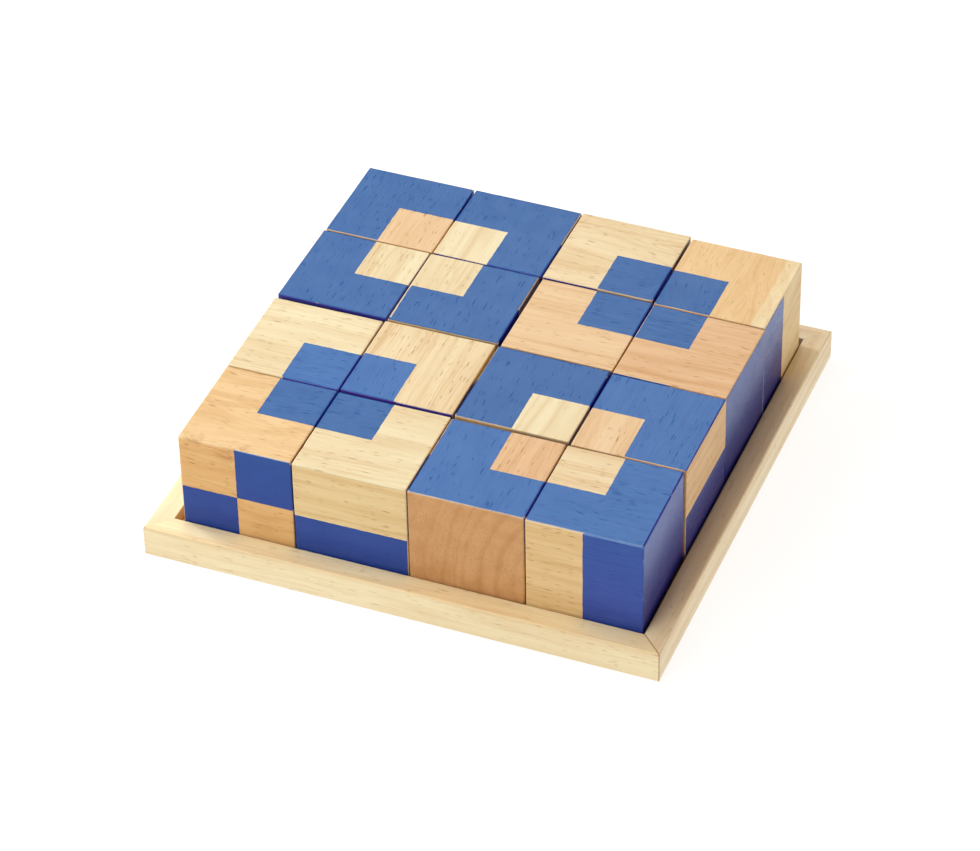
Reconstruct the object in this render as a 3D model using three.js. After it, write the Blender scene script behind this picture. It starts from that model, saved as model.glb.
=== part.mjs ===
// Colour cube puzzle board: sixteen loose wooden cubes in a low mitred tray with a base panel held in a groove.
// Millimetres, +Z up. The origin is on the table, under the middle of the tray; the front rail is towards -Y.

import * as THREE from 'three';
import { RoundedBoxGeometry } from 'three/addons/geometries/RoundedBoxGeometry.js';

// Cubes
const CUBE_SIDE = 40;
const CUBE_EASE = 0.5; // radius of the sanded edges
const CUBE_EASE_STEPS = 2;

// Rails of the tray
const RAIL_THICKNESS = 8;
const RAIL_HEIGHT = 12;
const RAIL_ROUND = 1.5; // radius of the outer top edge
const RAIL_FOOT_ROUND = 1.2; // radius of the outer bottom edge
const RAIL_EASE = 0.5; // radius of the two edges on the pocket's side
const RAIL_ARC_STEPS = 6;
const GLUE_LINE = 0.1; // between two mitred ends

// Base panel and the groove that holds it
const POCKET_DEPTH = 4.5; // from the top of the rails down to the panel
const PANEL_THICKNESS = 3;
const GROOVE_DEPTH = 4;
const PANEL_EDGE_CLEARANCE = 0.3; // from the panel's edge to the bottom of the groove
const PANEL_TOP_CLEARANCE = 0.2; // from the panel up to the groove's upper side

// The play of a full row of cubes in the pocket, and how much of a gap a cube's turn takes up
const POCKET_PLAY = 5.4;
const TURN_SHARE = 0.2;

// How the loose cubes lie, front row or left column first. The play of a row is shared out over its gaps from
// the left rail to the right one, and that of a column from the front rail to the rear one. Turns count steps
// of TURN_SHARE of one part of play, measured at the cube's corner, anticlockwise from above.
const ROW_GAPS = [
  [7, 1, 1, 1, 2],
  [6, 1, 2, 2, 1],
  [6, 1, 3, 1, 1],
  [7, 1, 1, 2, 1],
];
const COLUMN_GAPS = [
  [1, 1, 4, 1, 5],
  [1, 3, 2, 1, 5],
  [1, 3, 1, 2, 5],
  [1, 1, 1, 1, 8],
];
const TURNS = [
  [2, 2, 2, 2],
  [2, 2, 0, 0],
  [0, 1, 0, -2],
  [0, -2, -1, -1],
];

// Cubes whose upper face is mostly blue, front row first: true at each blue one
const BLUE_UP = [
  [false, false, true, true],
  [false, false, true, true],
  [true, true, false, false],
  [true, true, false, false],
];

// Finishes
const NATURAL_WOOD = { color: 0xe6c48f, roughness: 0.55, metalness: 0 };
const BLUE_PAINT = { color: 0x2c58a6, roughness: 0.42, metalness: 0 };
const RAIL_WOOD = { color: 0xefd7a6, roughness: 0.5, metalness: 0 };
const PANEL_PLY = { color: 0xcda874, roughness: 0.65, metalness: 0 };

// Sizes that follow
const ROW_LETTERS = ['a', 'b', 'c', 'd'];
const cubesInRow = COLUMN_GAPS.length;
const cubesInColumn = ROW_GAPS.length;
const pocketWidth = cubesInRow * CUBE_SIDE + POCKET_PLAY;
const pocketLength = cubesInColumn * CUBE_SIDE + POCKET_PLAY;
const panelTop = RAIL_HEIGHT - POCKET_DEPTH;
const grooveLow = panelTop - PANEL_THICKNESS;
const grooveHigh = panelTop + PANEL_TOP_CLEARANCE;
const panelReach = GROOVE_DEPTH - PANEL_EDGE_CLEARANCE;

const sum = (numbers) => numbers.reduce((total, value) => total + value, 0);

// Cross-section of a rail: x is the depth outwards from the pocket's wall, y the height
function railProfile() {
  const outer = RAIL_THICKNESS;
  const top = RAIL_HEIGHT;
  const quarter = Math.PI / 2;
  const shape = new THREE.Shape();
  shape.moveTo(RAIL_EASE, 0);
  shape.lineTo(outer - RAIL_FOOT_ROUND, 0);
  shape.absarc(outer - RAIL_FOOT_ROUND, RAIL_FOOT_ROUND, RAIL_FOOT_ROUND, -quarter, 0, false);
  shape.lineTo(outer, top - RAIL_ROUND);
  shape.absarc(outer - RAIL_ROUND, top - RAIL_ROUND, RAIL_ROUND, 0, quarter, false);
  shape.lineTo(RAIL_EASE, top);
  shape.absarc(RAIL_EASE, top - RAIL_EASE, RAIL_EASE, quarter, 2 * quarter, false);
  shape.lineTo(0, grooveHigh);
  shape.lineTo(GROOVE_DEPTH, grooveHigh);
  shape.lineTo(GROOVE_DEPTH, grooveLow);
  shape.lineTo(0, grooveLow);
  shape.lineTo(0, RAIL_EASE);
  shape.absarc(RAIL_EASE, RAIL_EASE, RAIL_EASE, 2 * quarter, 3 * quarter, false);
  return shape;
}

// A rail along X beside a pocket, its ends mitred at 45 degrees: every point of the profile runs as much
// further at each end as it lies further out.
function railGeometry(wallLength, wallDistance) {
  const geometry = new THREE.ExtrudeGeometry(railProfile(), {
    depth: 1,
    steps: 1,
    bevelEnabled: false,
    curveSegments: RAIL_ARC_STEPS,
  });
  const setBack = GLUE_LINE / Math.SQRT2;
  const position = geometry.getAttribute('position');
  for (let i = 0; i < position.count; i += 1) {
    const out = position.getX(i);
    const height = position.getY(i);
    const end = 1 - 2 * position.getZ(i);
    position.setXYZ(i, end * (wallLength / 2 + out - setBack), -(wallDistance + out), height);
  }
  geometry.computeVertexNormals();
  return geometry;
}

function namedMesh(name, geometry, finish) {
  const mesh = new THREE.Mesh(geometry, new THREE.MeshStandardMaterial(finish));
  mesh.name = name;
  return mesh;
}

function makeTray() {
  const tray = new THREE.Group();
  const rails = [
    { name: 'rail_front', wall: pocketWidth, distance: pocketLength / 2, quarterTurns: 0 },
    { name: 'rail_right', wall: pocketLength, distance: pocketWidth / 2, quarterTurns: 1 },
    { name: 'rail_rear', wall: pocketWidth, distance: pocketLength / 2, quarterTurns: 2 },
    { name: 'rail_left', wall: pocketLength, distance: pocketWidth / 2, quarterTurns: 3 },
  ];
  for (const rail of rails) {
    const mesh = namedMesh(rail.name, railGeometry(rail.wall, rail.distance), RAIL_WOOD);
    mesh.rotation.z = (rail.quarterTurns * Math.PI) / 2;
    tray.add(mesh);
  }
  const panel = new THREE.BoxGeometry(
    pocketWidth + 2 * panelReach,
    pocketLength + 2 * panelReach,
    PANEL_THICKNESS,
  );
  const panelMesh = namedMesh('base_panel', panel, PANEL_PLY);
  panelMesh.position.z = panelTop - PANEL_THICKNESS / 2;
  tray.add(panelMesh);
  return tray;
}

// Middle of a cube along one line of cubes, from the pocket's wall at the start of that line
function alongLine(gaps, index, wallToWall) {
  const part = POCKET_PLAY / sum(gaps);
  const play = part * sum(gaps.slice(0, index + 1));
  return -wallToWall / 2 + play + (index + 0.5) * CUBE_SIDE;
}

function makeCube(row, column) {
  const geometry = new RoundedBoxGeometry(CUBE_SIDE, CUBE_SIDE, CUBE_SIDE, CUBE_EASE_STEPS, CUBE_EASE);
  const finish = BLUE_UP[row][column] ? BLUE_PAINT : NATURAL_WOOD;
  const cube = namedMesh(`cube_${ROW_LETTERS[row]}${column + 1}`, geometry, finish);
  cube.position.set(
    alongLine(ROW_GAPS[row], column, pocketWidth),
    alongLine(COLUMN_GAPS[column], row, pocketLength),
    panelTop + CUBE_SIDE / 2,
  );
  const part = POCKET_PLAY / sum(ROW_GAPS[row]);
  cube.rotation.z = (TURNS[row][column] * TURN_SHARE * part) / (CUBE_SIDE / 2);
  return cube;
}

function makeCubes() {
  const cubes = new THREE.Group();
  for (let row = 0; row < cubesInColumn; row += 1) {
    for (let column = 0; column < cubesInRow; column += 1) {
      cubes.add(makeCube(row, column));
    }
  }
  return cubes;
}

const board = new THREE.Group();
board.add(makeTray(), makeCubes());

export default board;
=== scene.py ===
# Looks of a colour cube puzzle board: sixteen wooden cubes with blue patterns in a low mitred tray.
# Metres, +Z up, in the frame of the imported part.

import math
import random

import bpy
from mathutils import Matrix, Vector, noise


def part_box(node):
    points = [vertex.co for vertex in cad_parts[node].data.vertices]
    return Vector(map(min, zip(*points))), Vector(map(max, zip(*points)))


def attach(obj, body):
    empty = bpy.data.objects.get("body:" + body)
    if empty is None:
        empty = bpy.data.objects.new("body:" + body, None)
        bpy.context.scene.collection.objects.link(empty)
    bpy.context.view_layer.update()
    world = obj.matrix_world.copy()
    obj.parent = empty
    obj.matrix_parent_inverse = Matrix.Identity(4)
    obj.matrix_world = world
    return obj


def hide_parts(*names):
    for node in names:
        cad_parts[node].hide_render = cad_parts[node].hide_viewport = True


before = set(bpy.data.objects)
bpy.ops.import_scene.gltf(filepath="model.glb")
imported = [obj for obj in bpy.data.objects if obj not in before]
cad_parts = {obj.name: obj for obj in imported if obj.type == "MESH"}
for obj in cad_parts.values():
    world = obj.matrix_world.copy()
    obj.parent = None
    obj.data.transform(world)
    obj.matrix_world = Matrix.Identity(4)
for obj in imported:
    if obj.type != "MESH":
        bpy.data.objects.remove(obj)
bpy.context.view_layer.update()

MM = 0.001

# Edges of the cubes, in millimetres
EDGE_ROUND = 0.5
EDGE_ROUND_CHANGE = 0.15  # how much the sanding differs along an edge
EDGE_CHANGE_LENGTH = 9.0
EDGE_CHANGE_SHIFT = Vector((7.0, 3.0, 5.0))  # from one cube's unevenness to the next one's
KNOCKS_PER_CUBE = 4
KNOCK_DEPTH = (0.2, 0.5)
KNOCK_WIDTH = (0.7, 1.5)
EDGE_BAND = 1.3  # strip along each edge that holds the roundings and the knocks
EDGE_STEPS = (0.35, 0.56, 0.72, 0.87, 1.0)  # grid lines across that strip
FACE_STEPS = 14  # grid cells between the two strips

# Rails, in millimetres
RAIL_ROUND = 0.8
RAIL_FOOT_ROUND = 1.0
RAIL_EASE = 0.5
RAIL_ARC_STEPS = 8
RAIL_STATIONS = 90
RAIL_UNEVEN = 0.07  # how far the rounded edge wanders inwards
RAIL_UNEVEN_LENGTH = 14.0
RAIL_UNEVEN_SHIFT = 9.0  # from one rail's unevenness to the next one's
GROOVE_TOP_CLEARANCE = 0.2
GROOVE_EDGE_CLEARANCE = 0.3
MITRE_GAP = 0.03
SHARP_ANGLE = 40.0  # least angle between faces that meet in a crisp edge, degrees
GLUE_STAIN = 0.3  # width of the darker line on each side of a mitre
GLUE_DEPTHS = [1.0, 0.0, 0.2, 0.0]  # depth of that line at each corner, anticlockwise from the front right

# Face patterns as seen from outside: lower left, lower right, upper left and upper right quarter,
# each natural or blue. A top is seen with the rear rail above it.
NATURAL = "nnnn"
BLUE = "bbbb"
NATURAL_ABOVE = "bbnn"
NATURAL_BELOW = "nnbb"
NATURAL_LEFT = "nbnb"
NATURAL_RIGHT = "bnbn"
CHECK = "bnnb"
CHECK_TURNED = "nbbn"
MOSTLY_BLUE = "bbbn"
MOSTLY_NATURAL = "nnnb"

# How the cubes lie: rows a to d from the front, columns 1 to 4 from the left
ROWS = "abcd"
COLUMNS = "1234"
FIRST_SEED = 14  # of the cube at the front left; the others count on from it
FRONT_FACES = [
    [CHECK, NATURAL_ABOVE, NATURAL, NATURAL_LEFT],
    [NATURAL_LEFT, BLUE, NATURAL, NATURAL],
    [BLUE, NATURAL, NATURAL, CHECK_TURNED],
    [NATURAL, BLUE, CHECK_TURNED, NATURAL],
]
RIGHT_FACES = [
    [BLUE, NATURAL, BLUE, BLUE],
    [BLUE, NATURAL, NATURAL_LEFT, NATURAL_ABOVE],
    [NATURAL_BELOW, NATURAL_RIGHT, NATURAL_LEFT, BLUE],
    [NATURAL_LEFT, CHECK_TURNED, NATURAL_RIGHT, NATURAL_RIGHT],
]
LEFT_FACES = [
    [NATURAL, MOSTLY_BLUE, CHECK, CHECK],
    [CHECK, CHECK, CHECK, BLUE],
    [CHECK, CHECK_TURNED, BLUE, MOSTLY_BLUE],
    [BLUE, NATURAL_RIGHT, BLUE, BLUE],
]
BLOCK = 2  # tops make pictures of two by two cubes, whose odd quarters meet in the middle

# How far the middle of a pattern lies off the middle of its face, to the right and up, in millimetres
PATTERN_SHIFTS = {
    ("cube_a1", "top"): (-0.5, 0.0),
    ("cube_a1", "front"): (0.0, -0.5),
    ("cube_a2", "front"): (0.0, -1.5),
    ("cube_a3", "top"): (1.0, -0.5),
    ("cube_a4", "front"): (-0.5, 0.0),
    ("cube_b1", "top"): (-0.5, 0.0),
    ("cube_b2", "top"): (-1.0, 1.0),
    ("cube_b4", "top"): (-1.5, 0.5),
    ("cube_c2", "top"): (-0.5, 0.5),
    ("cube_c4", "top"): (-0.5, 0.5),
    ("cube_d1", "top"): (-0.5, 0.5),
    ("cube_d3", "top"): (0.0, 0.5),
    ("cube_d4", "top"): (0.0, 0.5),
}

# The wood of each cube: direction of the grain and tone, rows from the front
GRAIN_AXES = ["xxyx", "xyyy", "yyxx", "yyxy"]
TONES = {
    "cream": (0.79, 0.72, 0.49),
    "light": (0.78, 0.67, 0.44),
    "tan": (0.77, 0.59, 0.37),
    "pink": (0.72, 0.50, 0.295),
    "honey": (0.78, 0.58, 0.32),
}
CUBE_TONES = [
    ["honey", "cream", "pink", "light"],
    ["cream", "light", "cream", "tan"],
    ["cream", "cream", "tan", "pink"],
    ["tan", "cream", "light", "honey"],
]
SIDE_PAINTED_SHADE = (0.965, 0.81, 0.615)  # painted shade: side faces are painted darker than the tops
# painted shade: right faces that look out are painted darker than the tops
RIGHT_PAINTED_SHADE = (0.97, 0.88, 0.75)
GAP_PAINTED_SHADE = (0.87, 0.75, 0.62)  # painted shade on faces that look at another cube
# painted light: right faces that look at another cube, warmer and lighter in red than their tone
RIGHT_GAP_PAINTED_LIGHT = (1.15, 0.98, 0.75)
SANDED_TONE = (0.62, 0.56, 0.52)  # on roundings where the paint is rubbed off
# How far the paint of a top is rubbed off along one of its sides, where that differs from the other cubes
WORN_EDGES = {("cube_c2", "left"): 3.0, ("cube_c2", "front"): 0.0, ("cube_c4", "left"): 1.2}
GAP_WORN_SHARE = 3.0  # how far right faces that look at another cube are rubbed off
FIGURE = 0.35  # how much the grain wanders, where no cube says otherwise
FIGURED = {"cube_a1": 1.6, "cube_b3": 0.9, "cube_d3": 1.1, "cube_d4": 1.8}
PLAIN = {"cube_b3": 0.3, "cube_d2": 0.4, "cube_d4": 0.6}  # cubes whose streaks and pores are weak
SAPWOOD = {"cube_d4": 14.7}  # how far right of a cube's middle its pale sapwood begins, millimetres
SAPWOOD_EDGE = 2.0
SAPWOOD_WANDER_SIZE = (12.0, 5.0, 5.0)
SAPWOOD_CURVE = (0.3, 0.7)
SAPWOOD_TINT = (1.05, 1.22, 1.42)
PITHS = {"cube_a3": (54.0, -9.5)}  # middle of the log, right and up of the middle of a cube
PITH_DISTANCE = (45.0, 8.0)  # nearest cut from the middle of the log and the step to the next, millimetres
PITH_RINGS = 6
PITH_ANGLE = -23.0
GOLDEN_ANGLE = 137.5
KNOTS = {  # place from the cube's middle, reach in millimetres and depth of colour
    "cube_a1": [
        ((-3.0, -20.0, 16.0), 3.2, 0.9),
        ((-14.5, -20.0, 20.0), 2.2, 0.9),
        ((3.0, -19.0, 20.0), 1.4, 0.9),
        ((9.0, -20.0, -10.0), 5.0, 0.3),
        ((-9.0, 23.0, 20.0), 8.0, 0.45),
    ],
    # no knot, only a broad darker patch towards the lower left of this cube's front face
    "cube_a3": [((-20.0, -20.0, -12.0), 15.0, 0.25)],
}
KNOT_PUSH = 2.5  # how far the grain is pushed aside round a knot
KNOT_DEPTHS = (0.45, 1.0)  # between the streaks and in them
CUT_SPACING = 137.0  # along the log, so that no two cubes share their pores

# Where the rails and the panel were cut from the log, in millimetres from its middle
RAIL_LOG_SPACING = 400.0  # along the log from one rail to the next
RAIL_LOG_STEP = 9.0  # across the log from one rail to the next
RAIL_LOG_PLACE = (38.0, 52.0)
PANEL_LOG_PLACE = (0.0, 60.0, 35.0)

# Figure of the wood: sizes along and across the grain in millimetres, and the part of each noise that shows
DRIFT_SIZE = (80.0, 17.0, 17.0)
DRIFT_REACH = 14.0  # how far wood of figure 1 wanders
RING_WIDTH = 3.2
RING_CURVE = (0.40, 0.75)
RING_DEPTHS = (0.32, 0.4)  # on long grain and on end grain
LIVELY_SIZE = (70.0, 9.0, 9.0)
LIVELY_CURVE = (0.40, 0.62)
STREAK_SIZE = (24.0, 0.6, 0.6)
STREAK_CURVE = (0.46, 0.66)
STREAK_DEPTHS = (0.15, 0.5)  # in calm and in lively wood
STREAK_SHARES = (1.0, 0.3)  # of that depth on long grain and on end grain
CLOUD_SIZE = (45.0, 6.0, 6.0)
CLOUD_CURVE = (0.38, 0.66)
CLOUD_DEPTH = 0.28
PORES = ((7.5, 0.75, 0.36), (4.5, 0.58, 0.4))  # length and width of a cell, and share of cells with a pore
PORE_EDGE = (0.10, 0.30)  # where a pore fades, from the middle of its cell
RAIL_FIGURE = 0.3
RAIL_GRAINY = 0.65  # strength of streaks and pores
PANEL_FIGURE = 1.5
PANEL_GRAINY = 0.7

# Wood and paint
DEEP_GRAIN = (0.80, 0.64, 0.46)
PORE_TINT = (0.60, 0.45, 0.32)
KNOT_TINT = (0.62, 0.42, 0.26)
GLUE_TINT = (0.60, 0.47, 0.36)
END_TINT = (0.86, 0.81, 0.76)
# Each rail's tone; the right, rear and left rails are painted paler than the front one as painted light,
# where the light falls stronger on them
RAIL_TONES = {
    "rail_front": (0.87, 0.745, 0.475),
    "rail_right": (0.90, 0.79, 0.55),
    "rail_rear": (0.92, 0.80, 0.56),
    "rail_left": (0.92, 0.80, 0.56),
}
RAIL_TOP_PAINTED_LIGHT = {"rail_front": (1.08, 1.12, 1.15)}  # painted light: rails whose upper side is painted paler than their sides
PANEL_TONE = (0.62, 0.40, 0.18)
PAINT = (0.014, 0.107, 0.345)
SHEEN_PAINTED_CUBES = ("cube_a3", "cube_a4", "cube_b1", "cube_b2", "cube_b4")  # cubes whose paint is lighter: a painted sheen on cubes of the front two rows
PAINTED_SHEEN_TINT = (1.75, 1.24, 1.17)
COAT_GRAIN = 0.35  # how much of the wood's streaks shows in the paint
SHEEN_CUBE_COAT_GRAIN = 0.75
PAINT_SIDE_SHADE_HEAD = (1.2, 0.65, 0.84)  # painted shade: the coat on the side faces is painted darker and more violet, and more so further down
PAINT_SIDE_SHADE_FOOT = (1.5, 0.50, 0.82)
# painted shade: the coat on right faces that look out, darker towards the foot
PAINT_RIGHT_SHADE_HEAD = (1.0, 0.75, 1.0)
PAINT_RIGHT_SHADE_FOOT = (0.5, 0.05, 0.38)
PAINT_GAP_SHADE = (3.2, 0.36, 0.85)  # painted shade: darker, more violet coat along the upper edge of faces that look at another cube
# painted light and shade: on right faces in the gaps the coat is painted lighter and violet
PAINT_RIGHT_GAP_SHADE = (7.0, 0.8, 1.5)
PAINT_GAP_DEPTH = 4.0  # below the top, where that tint has ended, millimetres
PAINTED_FRONT_HIGHLIGHT = (0.11, 0.22, 0.48)  # painted highlight over the roundings along the front
PAINT_RIGHT_EDGE_SHADE = (1.0, 0.3, 0.75)  # painted shade over the roundings along the right
PAINT_DEEP = (0.78, 0.82, 0.90)
PAINT_PORE = (0.55, 0.62, 0.76)
COAT_SIZE = (9.0, 9.0, 9.0)  # thicker and thinner places of the coat
COAT_CURVE = (0.35, 0.7)
COAT_DEPTH = 0.35
COAT_PORES = 0.8

# Borders of the paint, as shares of a cube's side
BORDER_WANDER_SIZE = (2.5, 2.5, 2.5)  # millimetres
BORDER_WANDER = 0.004
RUB_SIZE = (5.0, 5.0, 5.0)  # millimetres
RUB_START = 0.68  # noise from which the paint between two blue faces is rubbed off
RUB_REACH = 0.04
BARE_REACH = (0.002, 0.009)  # beside a natural face
RUB_BLUR = 0.003

# Surfaces: relief in millimetres, roughness and gloss
RELIEF = 0.8
PAINT_LAYER = 0.05
CUBE_PORE_DEPTH = 0.09
CUBE_STREAK_DEPTH = 0.02
RAIL_PORE_DEPTH = 0.1
RAIL_STREAK_DEPTH = 0.03
PANEL_DEPTH = 0.06
BARE_ROUGHNESS = 0.5
PAINT_ROUGHNESS = (0.17, 0.23)
RAIL_ROUGHNESS = (0.48, 0.56)
PANEL_ROUGHNESS = (0.6, 0.72)
FLOOR_ROUGHNESS = 0.9
CUBE_GLOSS = 0.22
TRAY_GLOSS = 0.3

# Studio
FLOOR_HALF = 6.0
FLOOR_COLOUR = (0.26, 0.25, 0.24, 1.0)
FLOOR_GLOW = 0.845
SKY_COLOUR = (1.0, 0.99, 0.97, 1.0)
SKY_STRENGTH = 0.03
WHITE = (1.0, 1.0, 1.0)
WARM = (1.0, 0.69, 0.44)
MILD = (1.0, 0.92, 0.85)
LIGHTS = {  # colour, place, size and power of each soft light
    "key": (WHITE, (-0.77, 0.2, 0.95), 0.22, 5.5),
    "left": (WHITE, (-0.85, -0.25, 0.85), 0.5, 3.2),
    "front_left": (WHITE, (-0.5, -1.2, 0.8), 0.8, 12.5),
    "rear": (WHITE, (-0.42, 1.05, 1.25), 1.0, 8.4),
    "right": (MILD, (1.2, 0.08, 0.2), 0.5, 4.7),
    "above": (WARM, (0.0, 0.0, 1.4), 0.6, 5.0),
}

# Camera, from the places of the cubes' corners in the photograph
IMAGE_WIDTH = 980
FOCAL_PIXELS = 3951.7
SENSOR_WIDTH = 36.0
CAMERA_AIM = (0.0, -0.0067, 0.0172)
CAMERA_DISTANCE = 1.34
CAMERA_AZIMUTH = 22.084
CAMERA_ELEVATION = 38.671
CAMERA_ROLL = -1.107


class Tree:
    """One node tree, built by short calls. Every input is a number, a tuple or another node's socket."""

    def __init__(self, owner):
        owner.use_nodes = True
        self.tree = owner.node_tree
        self.tree.nodes.clear()

    def add(self, kind, inputs=None, **settings):
        made = self.tree.nodes.new(kind)
        for name, value in settings.items():
            setattr(made, name, value)
        for key, value in (inputs or {}).items():
            self.feed(made.inputs[key], value)
        return made

    def feed(self, socket, value):
        if isinstance(value, bpy.types.NodeSocket):
            self.tree.links.new(value, socket)
        else:
            socket.default_value = value

    def attribute(self, name):
        return self.add("ShaderNodeAttribute", attribute_name=name)

    def math(self, operation, a, b=0.0):
        return self.add("ShaderNodeMath", {0: a, 1: b}, operation=operation).outputs[0]

    def vector(self, operation, a, b):
        return self.add("ShaderNodeVectorMath", {0: a, 1: b}, operation=operation).outputs["Vector"]

    def length(self, vector):
        return self.add("ShaderNodeVectorMath", {0: vector}, operation="LENGTH").outputs["Value"]

    def noise(self, vector, size, detail=2.0):
        """Soft noise whose blobs are about that long in x, y and z."""
        scaled = self.vector("DIVIDE", vector, size)
        return self.add("ShaderNodeTexNoise", {"Vector": scaled, "Scale": 1.0, "Detail": detail})

    def ramp(self, value, start, end):
        """0 up to start, 1 from end on, smooth between them."""
        made = self.add("ShaderNodeMapRange", {"Value": value, "From Min": start, "From Max": end})
        made.interpolation_type = "SMOOTHSTEP"
        return made.outputs["Result"]

    def between(self, factor, a, b):
        made = self.add("ShaderNodeMix", {"Factor": factor}, data_type="FLOAT")
        self.feed(made.inputs["A"], a)
        self.feed(made.inputs["B"], b)
        return made.outputs["Result"]

    def colours(self, factor, a, b, blend_type="MIX"):
        made = self.add("ShaderNodeMix", {0: factor}, data_type="RGBA", blend_type=blend_type)
        self.feed(made.inputs[6], a)
        self.feed(made.inputs[7], b)
        return made.outputs[2]

    def tint(self, factor, colour, tint):
        """The colour, multiplied by the tint as far as the factor says."""
        return self.colours(factor, colour, (*tint, 1.0), "MULTIPLY")

    def surface(self, colour, roughness, height, gloss):
        bump = self.add("ShaderNodeBump", {"Height": height, "Strength": RELIEF, "Distance": MM})
        shader = self.add(
            "ShaderNodeBsdfPrincipled",
            {
                "Base Color": colour,
                "Roughness": roughness,
                "Specular IOR Level": gloss,
                "Normal": bump.outputs["Normal"],
            },
        )
        self.add("ShaderNodeOutputMaterial", {"Surface": shader.outputs["BSDF"]})


def pores(tree, grain, length, width, share):
    """Short dark vessels along the grain: one in each kept cell of that length and width."""
    cells = tree.add(
        "ShaderNodeTexVoronoi",
        {"Vector": tree.vector("DIVIDE", grain, (length, width, width)), "Scale": 1.0},
    )
    body = tree.math("SUBTRACT", 1.0, tree.ramp(cells.outputs["Distance"], *PORE_EDGE))
    chance = tree.add("ShaderNodeSeparateColor", {"Color": cells.outputs["Color"]}).outputs["Red"]
    return tree.math("MULTIPLY", body, tree.ramp(chance, 1.0 - share, 1.0))


def wood(tree, grain, tone, end_grain, figure, grainy):
    """Pale hardwood with its grain along x, in millimetres: colour, fine streaks and pores."""
    drift = tree.vector("SUBTRACT", tree.noise(grain, DRIFT_SIZE).outputs["Color"], (0.5, 0.5, 0.5))
    reach = tree.math("MULTIPLY", figure, DRIFT_REACH)
    reach = tree.add("ShaderNodeCombineXYZ", {"Y": reach, "Z": reach}).outputs["Vector"]
    bent = tree.vector("ADD", grain, tree.vector("MULTIPLY", drift, reach))
    ring = tree.length(tree.vector("MULTIPLY", bent, (0.0, 1.0, 1.0)))
    years = tree.add(
        "ShaderNodeTexNoise",
        {"W": tree.math("DIVIDE", ring, RING_WIDTH), "Scale": 1.0, "Detail": 2.0},
        noise_dimensions="1D",
    )
    bands = tree.ramp(years.outputs["Fac"], *RING_CURVE)
    lively = tree.ramp(tree.noise(bent, LIVELY_SIZE).outputs["Fac"], *LIVELY_CURVE)
    streaks = tree.ramp(tree.noise(bent, STREAK_SIZE, detail=3.0).outputs["Fac"], *STREAK_CURVE)
    clouds = tree.ramp(tree.noise(bent, CLOUD_SIZE, detail=3.0).outputs["Fac"], *CLOUD_CURVE)
    vessels = tree.math("MAXIMUM", *(pores(tree, bent, *sizes) for sizes in PORES))
    depth = tree.math("MULTIPLY", bands, tree.between(end_grain, *RING_DEPTHS))
    colour = tree.tint(depth, tone, DEEP_GRAIN)
    depth = tree.math("MULTIPLY", streaks, tree.between(lively, *STREAK_DEPTHS))
    depth = tree.math("MULTIPLY", depth, tree.between(end_grain, *STREAK_SHARES))
    colour = tree.tint(tree.math("MULTIPLY", depth, grainy), colour, DEEP_GRAIN)
    colour = tree.tint(tree.math("MULTIPLY", clouds, CLOUD_DEPTH), colour, DEEP_GRAIN)
    colour = tree.tint(tree.math("MULTIPLY", vessels, grainy), colour, PORE_TINT)
    colour = tree.tint(end_grain, colour, END_TINT)
    return colour, streaks, vessels


def painted_part(tree, grain):
    """How much of a cube's face is blue at this point: its quarters, less what is rubbed off the edges."""
    quarters = tree.attribute("quarters")
    lower_left, lower_right, upper_left = tree.add(
        "ShaderNodeSeparateColor", {"Color": quarters.outputs["Color"]}
    ).outputs
    across, up, _ = tree.add(
        "ShaderNodeSeparateXYZ", {"Vector": tree.add("ShaderNodeUVMap", uv_map="face").outputs["UV"]}
    ).outputs
    wander = tree.noise(grain, BORDER_WANDER_SIZE, detail=1.0).outputs["Fac"]
    middle = tree.between(wander, 0.5 - BORDER_WANDER, 0.5 + BORDER_WANDER)
    right_shift, up_shift, _ = tree.add(
        "ShaderNodeSeparateXYZ", {"Vector": tree.attribute("shift").outputs["Vector"]}
    ).outputs
    right_half = tree.math("GREATER_THAN", tree.math("SUBTRACT", across, right_shift), middle)
    upper_half = tree.math("GREATER_THAN", tree.math("SUBTRACT", up, up_shift), middle)
    lower = tree.between(right_half, lower_left, lower_right)
    upper = tree.between(right_half, upper_left, quarters.outputs["Alpha"])
    blue = tree.between(upper_half, lower, upper)
    edge = tree.math("MINIMUM", tree.math("PINGPONG", across, 0.5), tree.math("PINGPONG", up, 0.5))
    rubbing = tree.noise(grain, RUB_SIZE, detail=3.0).outputs["Fac"]
    reach = tree.math("MULTIPLY", tree.math("SUBTRACT", rubbing, RUB_START), RUB_REACH)
    bared = tree.attribute("bared").outputs["Fac"]
    bare = tree.math("MULTIPLY", bared, tree.between(rubbing, *BARE_REACH))
    reach = tree.between(bared, reach, bare)
    kept = tree.ramp(tree.math("SUBTRACT", edge, reach), 0.0, RUB_BLUR)
    return tree.math("MULTIPLY", blue, kept)


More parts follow.
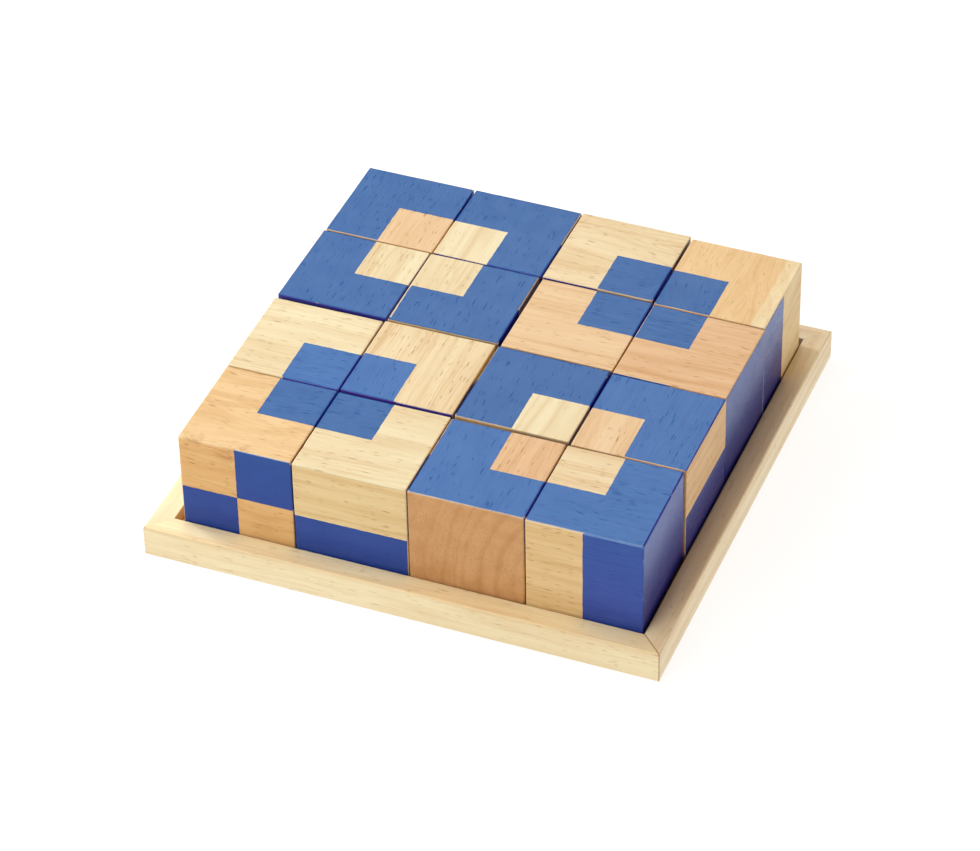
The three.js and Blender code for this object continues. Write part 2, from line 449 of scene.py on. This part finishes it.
def cube_material():
    material = bpy.data.materials.new("painted_cube_wood")
    tree = Tree(material)
    grain = tree.attribute("grain").outputs["Vector"]
    tone = tree.attribute("tone").outputs["Color"]
    end_grain = tree.attribute("end_grain").outputs["Fac"]
    figure = tree.attribute("figure").outputs["Fac"]
    grainy = tree.attribute("grainy").outputs["Fac"]
    knot = tree.attribute("knot").outputs["Fac"]
    wander = tree.math("SUBTRACT", tree.noise(grain, SAPWOOD_WANDER_SIZE).outputs["Fac"], 0.5)
    sapwood = tree.math("ADD", tree.attribute("sapwood").outputs["Fac"], wander)
    tone = tree.tint(tree.ramp(sapwood, *SAPWOOD_CURVE), tone, SAPWOOD_TINT)
    bare, streaks, vessels = wood(tree, grain, tone, end_grain, figure, grainy)
    bare = tree.tint(tree.math("MULTIPLY", knot, tree.between(streaks, *KNOT_DEPTHS)), bare, KNOT_TINT)
    coat = tree.ramp(tree.noise(grain, COAT_SIZE, detail=4.0).outputs["Fac"], *COAT_CURVE)
    layer = tree.attribute("paint")
    paint = tree.tint(tree.math("MULTIPLY", coat, COAT_DEPTH), layer.outputs["Color"], PAINT_DEEP)
    paint = tree.tint(tree.math("MULTIPLY", streaks, layer.outputs["Alpha"]), paint, PAINT_DEEP)
    paint = tree.tint(tree.math("MULTIPLY", vessels, COAT_PORES), paint, PAINT_PORE)
    blue = painted_part(tree, grain)
    colour = tree.colours(blue, bare, paint)
    roughness = tree.between(blue, BARE_ROUGHNESS, tree.between(coat, *PAINT_ROUGHNESS))
    height = tree.math("MULTIPLY", blue, PAINT_LAYER)
    height = tree.math("SUBTRACT", height, tree.math("MULTIPLY", vessels, CUBE_PORE_DEPTH))
    height = tree.math("SUBTRACT", height, tree.math("MULTIPLY", streaks, CUBE_STREAK_DEPTH))
    tree.surface(colour, roughness, height, CUBE_GLOSS)
    return material


def rail_material():
    material = bpy.data.materials.new("rail_wood")
    tree = Tree(material)
    grain = tree.attribute("grain").outputs["Vector"]
    tone = tree.attribute("tone").outputs["Color"]
    end_grain = tree.attribute("end_grain").outputs["Fac"]
    colour, streaks, vessels = wood(tree, grain, tone, end_grain, RAIL_FIGURE, RAIL_GRAINY)
    colour = tree.tint(tree.attribute("glue").outputs["Fac"], colour, GLUE_TINT)
    height = tree.math("MULTIPLY", vessels, -RAIL_PORE_DEPTH)
    height = tree.math("SUBTRACT", height, tree.math("MULTIPLY", streaks, RAIL_STREAK_DEPTH))
    roughness = tree.between(streaks, *RAIL_ROUGHNESS)
    tree.surface(colour, roughness, height, TRAY_GLOSS)
    return material


def panel_material():
    """Plywood face: broad wandering veneer figure along y."""
    material = bpy.data.materials.new("panel_ply")
    tree = Tree(material)
    place = tree.add("ShaderNodeTexCoord").outputs["Object"]
    turned = tree.add("ShaderNodeMapping", {"Vector": place, "Rotation": (0.0, 0.0, math.radians(-90.0))})
    grain = tree.vector("DIVIDE", turned.outputs["Vector"], (MM, MM, MM))
    grain = tree.vector("ADD", grain, PANEL_LOG_PLACE)
    tone = (*PANEL_TONE, 1.0)
    colour, streaks, vessels = wood(tree, grain, tone, 0.0, PANEL_FIGURE, PANEL_GRAINY)
    height = tree.math("MULTIPLY", tree.math("ADD", vessels, streaks), -PANEL_DEPTH)
    tree.surface(colour, tree.between(streaks, *PANEL_ROUGHNESS), height, TRAY_GLOSS)
    return material


def new_object(name, mesh, material):
    made = bpy.data.objects.new(name, mesh)
    bpy.context.scene.collection.objects.link(made)
    mesh.materials.append(material)
    mesh.polygons.foreach_set("use_smooth", [True] * len(mesh.polygons))
    return made


def write_attribute(mesh, name, kind, domain, values):
    """One value for each point or face of a mesh, for its material to read."""
    field = "value" if kind == "FLOAT" else "color" if kind == "FLOAT_COLOR" else "vector"
    flat = values if kind == "FLOAT" else [part for value in values for part in value]
    mesh.attributes.new(name, kind, domain).data.foreach_set(field, flat)


# Cubes

# Each face: its normal, and the directions to its right and up as seen from outside
X = Vector((1, 0, 0))
Y = Vector((0, 1, 0))
Z = Vector((0, 0, 1))
CUBE_FACES = {
    "top": (Z, X, Y),
    "front": (-Y, X, Z),
    "right": (X, Y, Z),
    "rear": (Y, -X, Z),
    "left": (-X, -Y, Z),
    "bottom": (-Z, X, -Y),
}


def top_pattern(row, column):
    """Three quarters of one colour; the odd quarter points to the middle of its block of cubes."""
    in_blue_block = (row // BLOCK == 0) == (column // BLOCK == 1)
    upper = row % BLOCK == 0
    right = column % BLOCK == 0
    odd = 2 * upper + right
    main, other = ("b", "n") if in_blue_block else ("n", "b")
    return main * odd + other + main * (3 - odd)


def face_patterns(row, column):
    """The pattern of each face of a cube. The two that never show have the cube's remaining kinds."""
    patterns = {
        "top": top_pattern(row, column),
        "front": FRONT_FACES[row][column],
        "right": RIGHT_FACES[row][column],
        "left": LEFT_FACES[row][column],
    }
    kinds = [BLUE, MOSTLY_BLUE, NATURAL_RIGHT, CHECK, MOSTLY_NATURAL, NATURAL]

    def kind(pattern):
        blues = pattern.count("b")
        crossed = pattern in (CHECK, CHECK_TURNED)
        return (blues, crossed)

    used = {kind(pattern) for pattern in patterns.values()}
    left_over = [pattern for pattern in kinds if kind(pattern) not in used]
    for face, pattern in zip(("rear", "bottom"), left_over):
        patterns[face] = pattern
    return patterns


def blue_at(patterns, face, point):
    """Whether a face is blue at a point that lies on it or beside it."""
    _, right, up = CUBE_FACES[face]
    quarter = 2 * (point.dot(up) > 0) + (point.dot(right) > 0)
    return patterns[face][quarter] == "b"


def grid_lines(half):
    """Places of the grid lines across a face, from its middle: close together along its edges."""
    flat = half - EDGE_BAND
    inner = [flat * (2 * step / FACE_STEPS - 1) for step in range(FACE_STEPS + 1)]
    strip = [flat + EDGE_BAND * share for share in EDGE_STEPS]
    return [-place for place in reversed(strip)] + inner + strip


class CubeGrid:
    """A sharp cube in small cells, made face by face, with what its material needs to know of each cell."""

    def __init__(self, half):
        self.half = half
        self.lines = grid_lines(half)
        self.numbers = {}
        self.points = []
        self.cells = []
        self.corners_uv = []
        self.places = []

    def number(self, point):
        """Number of a grid point, the same one for all the faces that share it."""
        key = tuple(round(value, 4) for value in point)
        if key not in self.numbers:
            self.numbers[key] = len(self.points)
            self.points.append(point)
        return self.numbers[key]

    def add_face(self, face):
        normal, right, up = CUBE_FACES[face]
        shares = [0.5 + place / self.half / 2 for place in self.lines]
        grid = [
            [self.number(normal * self.half + right * u + up * v) for u in self.lines]
            for v in self.lines
        ]
        for k in range(len(self.lines) - 1):
            for j in range(len(self.lines) - 1):
                cell = (grid[k][j], grid[k][j + 1], grid[k + 1][j + 1], grid[k + 1][j])
                middle = sum((self.points[number] for number in cell), Vector()) / 4
                self.cells.append(cell)
                self.places.append((face, middle))
                self.corners_uv += [shares[j], shares[k], shares[j + 1], shares[k]]
                self.corners_uv += [shares[j + 1], shares[k + 1], shares[j], shares[k + 1]]

    def beside(self, face, middle, distance):
        """The other faces whose edge is nearer than that to a cell's middle."""
        return [
            other
            for other, (normal, _, _) in CUBE_FACES.items()
            if other != face and middle.dot(normal) > self.half - distance
        ]


def edge_round(point, seed, knocks):
    """Radius of the rounding at a point of the sharp cube: sanded by hand, larger where it was knocked."""
    place = point / EDGE_CHANGE_LENGTH + seed * EDGE_CHANGE_SHIFT
    radius = EDGE_ROUND + EDGE_ROUND_CHANGE * noise.noise(place)
    for spot, depth, width in knocks:
        radius += depth * math.exp(-((point - spot).length / width) ** 2)
    return min(radius, EDGE_BAND)


def rounded(point, half, radius):
    """A point of the sharp cube, moved onto the rounded one."""
    flat = half - radius
    core = Vector([max(-flat, min(flat, value)) for value in point])
    return core + (point - core).normalized() * radius


def make_knocks(half, seed):
    """Small dents on random edges: place, depth and width."""
    draw = random.Random(seed)
    knocks = []
    for _ in range(KNOCKS_PER_CUBE):
        along = draw.randrange(3)
        spot = Vector([draw.choice((-half, half)) for _ in range(3)])
        spot[along] = draw.uniform(-half, half)
        knocks.append((spot, draw.uniform(*KNOCK_DEPTH), draw.uniform(*KNOCK_WIDTH)))
    return knocks


def knot_share(name, point):
    """How deep the colour of a knot is at a point of its cube: 0 away from knots."""
    if name not in KNOTS:
        return 0.0
    return max(
        depth * math.exp(-(((point - Vector(place)).length / reach) ** 2))
        for place, reach, depth in KNOTS[name]
    )


def pith_place(name, seed):
    """Middle of the log a cube was cut from, across the grain and from the cube's middle."""
    distance = PITH_DISTANCE[0] + PITH_DISTANCE[1] * (seed % PITH_RINGS)
    angle = math.radians(PITH_ANGLE + GOLDEN_ANGLE * seed)
    return PITHS.get(name, (distance * math.cos(angle), distance * math.sin(angle)))


def cut_from_log(point, axis, seed, pith, knot):
    """A point of a cube in the wood it was cut from: grain along x, the middle of the log at y = z = 0."""
    others = [k for k in range(3) if k != axis]
    push = KNOT_PUSH * knot
    return (
        point[axis] + CUT_SPACING * (seed + 1),
        point[others[0]] - pith[0] + push,
        point[others[1]] - pith[1] + push,
    )


def scaled(colour, tint):
    return [value * part for value, part in zip(colour, tint)]


def looks_out(face, row, column):
    """Whether a face looks away from the other cubes."""
    looks_at = {
        "front": row > 0,
        "rear": row < len(ROWS) - 1,
        "left": column > 0,
        "right": column < len(COLUMNS) - 1,
    }
    return not looks_at.get(face, False)


def bare_tone(top_tone, face, rounding, blue, outward):
    """Colour of the wood in a cell: on a rounding, on the top or on a side, with painted shade on the sides
    and painted light on right faces in the gaps.
    """
    if face == "right" and not outward:
        return scaled(top_tone, RIGHT_GAP_PAINTED_LIGHT)
    if rounding and blue:
        return SANDED_TONE
    if face == "top" or ("top" in rounding and outward):
        return top_tone
    if face == "right":
        return scaled(top_tone, RIGHT_PAINTED_SHADE)
    return scaled(top_tone, SIDE_PAINTED_SHADE if outward else GAP_PAINTED_SHADE)


def mixed(a, b, share):
    return [start + (end - start) * share for start, end in zip(a, b)]


def coat_colour(paint, face, rounding, open_faces, depth, side):
    """Colour of the paint in a cell that lies that far below the top of a cube, with a painted highlight
    along the front roundings and painted shade on the right roundings, the sides and in the gaps.
    """
    edge = {face, *rounding}
    # painted highlight on front roundings, painted shade on right roundings, on the side faces and in the
    # gaps
    if {"top", "front"} <= edge and "front" in open_faces:
        return PAINTED_FRONT_HIGHLIGHT
    if {"top", "right"} <= edge and "right" in open_faces:
        return scaled(paint, PAINT_RIGHT_EDGE_SHADE)
    if face == "top":
        return paint
    if face == "right" and face in open_faces:
        return scaled(paint, mixed(PAINT_RIGHT_SHADE_HEAD, PAINT_RIGHT_SHADE_FOOT, depth / side))
    tint = mixed(PAINT_SIDE_SHADE_HEAD, PAINT_SIDE_SHADE_FOOT, depth / side)
    if face not in open_faces:
        gap_shade = PAINT_RIGHT_GAP_SHADE if face == "right" else PAINT_GAP_SHADE
        share = (PAINT_GAP_DEPTH - depth) / (PAINT_GAP_DEPTH - EDGE_BAND)
        tint = mixed(tint, gap_shade, max(0.0, min(1.0, share)))
    return scaled(paint, tint)


def bare_share(name, face, neighbours, open_faces, patterns, middle):
    """How far the paint of a cell is rubbed off: 0 where the faces beside it are blue as well."""
    for side in neighbours:
        if face == "top" and (name, side) in WORN_EDGES:
            return WORN_EDGES[name, side]
    if face == "top" and "right" in neighbours and "right" in open_faces:
        return 0.0
    beside_bare = any(not blue_at(patterns, other, middle) for other in neighbours)
    in_right_gap = face == "right" and face not in open_faces
    return beside_bare * (GAP_WORN_SHARE if in_right_gap else 1.0)


def sapwood_share(name, point):
    """1 in the sapwood of a cube, 0.5 at its border and 0 in the heartwood."""
    if name not in SAPWOOD:
        return 0.0
    return max(0.0, min(1.0, 0.5 + (point.x - SAPWOOD[name]) / SAPWOOD_EDGE))


def make_cube(row, column, material):
    name = f"cube_{ROWS[row]}{COLUMNS[column]}"
    low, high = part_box(name)
    half = (high.z - low.z) / 2 / MM
    seed = (FIRST_SEED + len(COLUMNS) * row + column) % (len(ROWS) * len(COLUMNS))
    axis = "xyz".index(GRAIN_AXES[row][column])
    patterns = face_patterns(row, column)
    top_tone = TONES[CUBE_TONES[row][column]]
    # painted sheen: some cubes of the front rows get paler paint
    sheen_painted = name in SHEEN_PAINTED_CUBES
    paint = scaled(PAINT, PAINTED_SHEEN_TINT) if sheen_painted else PAINT
    paint_grain = SHEEN_CUBE_COAT_GRAIN if sheen_painted else COAT_GRAIN
    open_faces = [face for face in CUBE_FACES if looks_out(face, row, column)]
    grid = CubeGrid(half)
    for face in CUBE_FACES:
        grid.add_face(face)
    quarters = []
    tones = []
    paints = []
    bared = []
    shifts = []
    end_grain = []
    for face, middle in grid.places:
        rounding = grid.beside(face, middle, EDGE_ROUND)
        blue = blue_at(patterns, face, middle)
        quarters.append([float(quarter == "b") for quarter in patterns[face]])
        tones.append((*bare_tone(top_tone, face, rounding, blue, face in open_faces), 1.0))
        coat = coat_colour(paint, face, rounding, open_faces, half - middle.z, 2 * half)
        paints.append((*coat, paint_grain))
        neighbours = grid.beside(face, middle, EDGE_BAND)
        bared.append(bare_share(name, face, neighbours, open_faces, patterns, middle))
        right_shift, up_shift = PATTERN_SHIFTS.get((name, face), (0.0, 0.0))
        shifts.append((right_shift / half / 2, up_shift / half / 2, 0.0))
        end_grain.append(abs(CUBE_FACES[face][0][axis]))
    knocks = make_knocks(half, seed)
    points = [rounded(point, half, edge_round(point, seed, knocks)) for point in grid.points]
    knots = [knot_share(name, point) for point in points]
    pith = pith_place(name, seed)
    grain = [cut_from_log(point, axis, seed, pith, knot) for point, knot in zip(points, knots)]
    mesh = bpy.data.meshes.new(name + "_look")
    mesh.from_pydata([point * MM for point in points], [], grid.cells)
    mesh.uv_layers.new(name="face").data.foreach_set("uv", grid.corners_uv)
    write_attribute(mesh, "quarters", "FLOAT_COLOR", "FACE", quarters)
    # the tones hold painted shade on the sides and painted light in the right gaps; the paint holds painted
    # shade and a painted highlight along the front
    write_attribute(mesh, "tone", "FLOAT_COLOR", "FACE", tones)
    write_attribute(mesh, "paint", "FLOAT_COLOR", "FACE", paints)
    write_attribute(mesh, "bared", "FLOAT", "FACE", bared)
    write_attribute(mesh, "shift", "FLOAT_VECTOR", "FACE", shifts)
    write_attribute(mesh, "end_grain", "FLOAT", "FACE", end_grain)
    write_attribute(mesh, "figure", "FLOAT", "FACE", [FIGURED.get(name, FIGURE)] * len(grid.cells))
    write_attribute(mesh, "grainy", "FLOAT", "FACE", [PLAIN.get(name, 1.0)] * len(grid.cells))
    write_attribute(mesh, "sapwood", "FLOAT", "POINT", [sapwood_share(name, point) for point in points])
    write_attribute(mesh, "knot", "FLOAT", "POINT", knots)
    write_attribute(mesh, "grain", "FLOAT_VECTOR", "POINT", grain)
    cube = new_object(name + "_look", mesh, material)
    cube.matrix_world = Matrix.Translation((low + high) / 2) @ Matrix.Rotation(node_turn(name), 4, "Z")
    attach(cube, name)
    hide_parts(name)


def node_turn(name):
    """Turn of a cube about +Z, from the largest face that looks to the right."""
    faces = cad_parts[name].data.polygons
    to_right = [face for face in faces if face.normal.x > max(abs(face.normal.y), abs(face.normal.z))]
    flat = max(to_right, key=lambda face: face.area)
    return math.atan2(flat.normal.y, flat.normal.x)


# Tray


def arc(centre, radius, start, end):
    """Points of a quarter round, between two angles in degrees."""
    angles = [math.radians(start + (end - start) * k / RAIL_ARC_STEPS) for k in range(RAIL_ARC_STEPS + 1)]
    return [(centre[0] + radius * math.cos(a), centre[1] + radius * math.sin(a)) for a in angles]


def rail_profile(thickness, height, groove_depth, groove_low, groove_high):
    """Outline of a rail, anticlockwise: distance out from the pocket's wall, and height."""
    foot = thickness - RAIL_FOOT_ROUND
    outer = thickness - RAIL_ROUND
    top = height - RAIL_ROUND
    return [
        *arc((foot, RAIL_FOOT_ROUND), RAIL_FOOT_ROUND, -90, 0),
        *arc((outer, top), RAIL_ROUND, 0, 90),
        *arc((RAIL_EASE, height - RAIL_EASE), RAIL_EASE, 90, 180),
        (0.0, groove_high),
        (groove_depth, groove_high),
        (groove_depth, groove_low),
        (0.0, groove_low),
        *arc((RAIL_EASE, RAIL_EASE), RAIL_EASE, 180, 270),
    ]


def make_rail(name, quarter_turns, material):
    """A mitred rail, made along x at the front of the tray and turned into its place."""
    low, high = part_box("rail_front")
    panel_low, panel_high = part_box("base_panel")
    wall = -high.y / MM
    thickness = (high.y - low.y) / MM
    height = (high.z - low.z) / MM
    groove_depth = panel_high.x / MM - wall + GROOVE_EDGE_CLEARANCE
    groove_low = panel_low.z / MM
    groove_high = panel_high.z / MM + GROOVE_TOP_CLEARANCE
    profile = rail_profile(thickness, height, groove_depth, groove_low, groove_high)
    set_back = MITRE_GAP / math.sqrt(2)
    clean = 1 - GLUE_STAIN / wall
    shares = [-1.0, *(clean * (2 * k / RAIL_STATIONS - 1) for k in range(RAIL_STATIONS + 1)), 1.0]
    lengths = len(shares) - 1
    count = len(profile)
    points = []
    grain = []
    for share in shares:
        for out, up in profile:
            along = share * (wall + out - set_back)
            outside = max(0.0, out / thickness) * max(0.0, up / height)
            spot = Vector((along, out, up)) / RAIL_UNEVEN_LENGTH
            spot.z += RAIL_UNEVEN_SHIFT * quarter_turns
            inwards = RAIL_UNEVEN * outside * (0.5 + 0.5 * noise.noise(spot))
            points.append(Vector((along, -(wall + out - inwards), up - inwards * (up > height / 2))))
            grain.append(
                (
                    along + RAIL_LOG_SPACING * quarter_turns,
                    out + RAIL_LOG_PLACE[0] + RAIL_LOG_STEP * quarter_turns,
                    up + RAIL_LOG_PLACE[1],
                )
            )
    faces = []
    glue = []
    tones = []
    # painted light: the top of some rails gets a paler tone
    top_tone = scaled(RAIL_TONES[name], RAIL_TOP_PAINTED_LIGHT.get(name, WHITE))
    stains = {0: GLUE_DEPTHS[quarter_turns - 1], lengths - 1: GLUE_DEPTHS[quarter_turns]}
    for length in range(lengths):
        for k in range(count):
            here = length * count
            n = (k + 1) % count
            faces.append((here + k, here + count + k, here + count + n, here + n))
            glue.append(stains.get(length, 0.0))
            on_top = min(profile[k][1], profile[n][1]) > height - RAIL_EASE / 2
            tones.append((*(top_tone if on_top else RAIL_TONES[name]), 1.0))
    sides = len(faces)
    faces.append(tuple(range(count)))
    faces.append(tuple(reversed(range(lengths * count, (lengths + 1) * count))))
    ends = len(faces) - sides
    mesh = bpy.data.meshes.new(name + "_look")
    mesh.from_pydata([point * MM for point in points], [], faces)
    write_attribute(mesh, "grain", "FLOAT_VECTOR", "POINT", grain)
    write_attribute(mesh, "tone", "FLOAT_COLOR", "FACE", tones + [(*RAIL_TONES[name], 1.0)] * ends)
    write_attribute(mesh, "end_grain", "FLOAT", "FACE", [0.0] * sides + [1.0] * ends)
    write_attribute(mesh, "glue", "FLOAT", "FACE", glue + [1.0] * ends)
    rail = new_object(name + "_look", mesh, material)
    mesh.set_sharp_from_angle(angle=math.radians(SHARP_ANGLE))
    rail.matrix_world = Matrix.Rotation(quarter_turns * math.pi / 2, 4, "Z")
    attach(rail, "tray")
    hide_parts(name)


def make_board():
    cube_wood = cube_material()
    for row in range(len(ROWS)):
        for column in range(len(COLUMNS)):
            make_cube(row, column, cube_wood)
    rail_wood = rail_material()
    for quarter_turns, name in enumerate(("rail_front", "rail_right", "rail_rear", "rail_left")):
        make_rail(name, quarter_turns, rail_wood)
    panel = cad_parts["base_panel"]
    panel.data.materials.clear()
    panel.data.materials.append(panel_material())


# Studio


def make_floor():
    mesh = bpy.data.meshes.new("floor")
    corners = [(-1, -1, 0), (1, -1, 0), (1, 1, 0), (-1, 1, 0)]
    mesh.from_pydata([Vector(corner) * FLOOR_HALF for corner in corners], [], [(0, 1, 2, 3)])
    material = bpy.data.materials.new("floor")
    tree = Tree(material)
    shader = tree.add(
        "ShaderNodeBsdfPrincipled",
        {
            "Base Color": FLOOR_COLOUR,
            "Roughness": FLOOR_ROUGHNESS,
            "Specular IOR Level": 0.0,
            "Emission Color": (*WHITE, 1.0),
            "Emission Strength": FLOOR_GLOW,
        },
    )
    tree.add("ShaderNodeOutputMaterial", {"Surface": shader.outputs["BSDF"]})
    new_object("floor", mesh, material)


def make_light(name, colour, place, size, power):
    """A square soft light that looks at the middle of the board."""
    light = bpy.data.lights.new(name, "AREA")
    light.color = colour
    light.size = size
    light.energy = power
    made = bpy.data.objects.new(name, light)
    bpy.context.scene.collection.objects.link(made)
    made.location = place
    made.rotation_euler = (-Vector(place)).to_track_quat("-Z", "Y").to_euler()


def make_sky():
    world = bpy.data.worlds.new("studio")
    tree = Tree(world)
    sky = tree.add("ShaderNodeBackground", {"Color": SKY_COLOUR, "Strength": SKY_STRENGTH})
    tree.add("ShaderNodeOutputWorld", {"Surface": sky.outputs["Background"]})
    bpy.context.scene.world = world


def make_camera():
    azimuth = math.radians(CAMERA_AZIMUTH)
    elevation = math.radians(CAMERA_ELEVATION)
    back = Vector(
        (
            math.sin(azimuth) * math.cos(elevation),
            -math.cos(azimuth) * math.cos(elevation),
            math.sin(elevation),
        )
    )
    data = bpy.data.cameras.new("camera")
    data.sensor_width = SENSOR_WIDTH
    data.lens = FOCAL_PIXELS / IMAGE_WIDTH * SENSOR_WIDTH
    camera = bpy.data.objects.new("camera", data)
    bpy.context.scene.collection.objects.link(camera)
    camera.location = Vector(CAMERA_AIM) + back * CAMERA_DISTANCE
    level = (-back).to_track_quat("-Z", "Y").to_matrix().to_4x4()
    turn = level @ Matrix.Rotation(math.radians(CAMERA_ROLL), 4, "Z")
    camera.rotation_euler = turn.to_euler()
    bpy.context.scene.camera = camera


make_board()
make_floor()
make_sky()
for light_name, settings in LIGHTS.items():
    make_light(light_name, *settings)
make_camera()
bpy.context.scene.view_settings.view_transform = "Standard"
